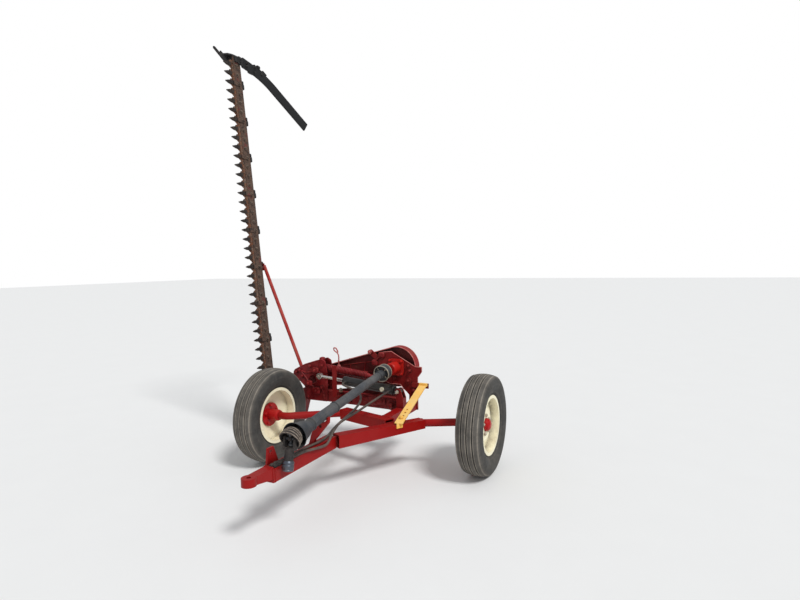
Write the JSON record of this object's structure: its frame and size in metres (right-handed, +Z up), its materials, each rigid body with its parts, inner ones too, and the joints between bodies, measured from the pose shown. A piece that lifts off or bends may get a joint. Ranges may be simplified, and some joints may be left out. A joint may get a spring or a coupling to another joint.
{
  "type": "sickle bar mower",
  "caption": "Trailed sickle bar mower with its cutter bar folded upright on a light two-wheeled frame with a hitch eye and a telescopic drive shaft.",
  "frame": {"origin": "on the ground below the middle of the whole machine's box", "axes": "+X to the machine's left, +Y rearwards, +Z up"},
  "size_m": [2.2683, 2.464, 3.2344],
  "materials": {
    "frame_red": "satin",
    "mower_red": "satin",
    "shield_red": "satin",
    "bearing_red": "satin",
    "cap_red": "satin",
    "rim_cream": "satin",
    "tyre": "matte",
    "strap_yellow": "satin",
    "shaft_shield": "matte",
    "joint_steel": "matte",
    "barrel_black": "satin",
    "rod_chrome": "polished",
    "bar_steel": "matte",
    "knife_steel": "matte",
    "board_black": "matte",
    "bracket_black": "satin",
    "hose_rubber": "matte"
  },
  "bodies": {
    "frame": {"tongue": "frame_red", "hitch_clevis": "frame_red", "main_beam": "frame_red", "cross_member": "frame_red", "axle_left": "frame_red", "axle_right": "frame_red", "rear_rail": "mower_red", "cylinder_anchor": "mower_red", "drive_stand": "mower_red", "bearing_housing": "bearing_red", "belt_shield": "shield_red", "shield_panel": "shield_red", "transport_strap": "strap_yellow", "input_fork": "joint_steel", "float_spring": "mower_red", "hose_base": "hose_rubber", "hose_rod": "hose_rubber"},
    "wheel_left": {"tyre_left": "tyre", "rim_left": "rim_cream", "hub_left": "cap_red"},
    "wheel_right": {"tyre_right": "tyre", "rim_right": "rim_cream", "hub_right": "cap_red"},
    "lift": {"lift_arm": "mower_red", "lift_casting": "mower_red", "drive_head": "mower_red", "tilt_lever": "mower_red", "hinge_yoke": "mower_red", "ground_runner": "mower_red"},
    "bar": {"inner_shoe": "bar_steel", "cutter_bar": "bar_steel", "knife_clips": "bar_steel", "outer_shoe": "bar_steel", "rod_catch": "mower_red", "board_bracket": "bracket_black", "swath_board": "board_black"},
    "knife": {"knife": "knife_steel"},
    "transport_rod": {"transport_rod": "mower_red"},
    "cylinder_barrel": {"cylinder_barrel": "barrel_black"},
    "cylinder_rod": {"cylinder_rod": "rod_chrome"},
    "shaft_rear": {"shaft_rear_tube": "shaft_shield", "shaft_rear_bell": "shaft_shield"},
    "shaft_front": {"shaft_front_tube": "shaft_shield", "shaft_front_cone": "shaft_shield"},
    "shaft_yoke": {"shaft_yoke": "joint_steel"}
  },
  "joints": [
    {"name": "wheel_left_spin", "type": "hinge", "parent": "frame", "child": "wheel_left", "pos_m": [1.041, 0.298, 0.35], "axis": [1, 0, 0], "continuous": true},
    {"name": "wheel_right_spin", "type": "hinge", "parent": "frame", "child": "wheel_right", "pos_m": [-0.499, -0.072, 0.35], "axis": [1, 0, 0], "continuous": true},
    {"name": "lift", "type": "hinge", "parent": "frame", "child": "lift", "pos_m": [0.311, 0.375, 0.4], "axis": [0, 1, 0], "range_deg": [0, 14], "deforming": ["float_spring", "hose_base", "hose_rod"]},
    {"name": "bar_fold", "type": "hinge", "parent": "lift", "child": "bar", "pos_m": [-0.714, 0.313, 0.14], "axis": [0, -1, 0], "range_deg": [0, 84.4]},
    {"name": "knife_slide", "type": "slide", "parent": "bar", "child": "knife", "axis": [-0.0976, 0, 0.9952], "range_m": [-0.0762, 0]},
    {"name": "rod_swing", "type": "hinge", "parent": "lift", "child": "transport_rod", "pos_m": [-0.545, 0.398, 0.607], "axis": [0, 1, 0], "range_deg": [0, 60]},
    {"name": "cylinder_swing", "type": "hinge", "parent": "frame", "child": "cylinder_barrel", "pos_m": [0.391, 0.318, 0.522], "axis": [0, 1, 0], "range_deg": [0, 13.4], "deforming": ["hose_base", "hose_rod"]},
    {"name": "cylinder_stroke", "type": "slide", "parent": "cylinder_barrel", "child": "cylinder_rod", "axis": [-0.9964, 0, 0.0842], "range_m": [-0.034, 0]},
    {"name": "shaft_swing", "type": "hinge", "parent": "frame", "child": "shaft_rear", "pos_m": [0.271, 0.313, 0.662], "axis": [-0.9988, -0.0483, 0], "range_deg": [0, 25]},
    {"name": "shaft_slide", "type": "slide", "parent": "shaft_rear", "child": "shaft_front", "axis": [0.048, -0.9924, -0.1136], "range_m": [-0.1, 0.15]},
    {"name": "yoke_swing", "type": "hinge", "parent": "shaft_front", "child": "shaft_yoke", "pos_m": [0.331, -0.927, 0.52], "axis": [-0.9988, -0.0483, 0], "range_deg": [0, 68]}
  ],
  "couplings": [
    {"joint": "cylinder_swing", "follows": "lift", "ratio": 0.92177},
    {"joint": "cylinder_stroke", "follows": "lift", "m_per_rad": -0.13496}
  ]
}
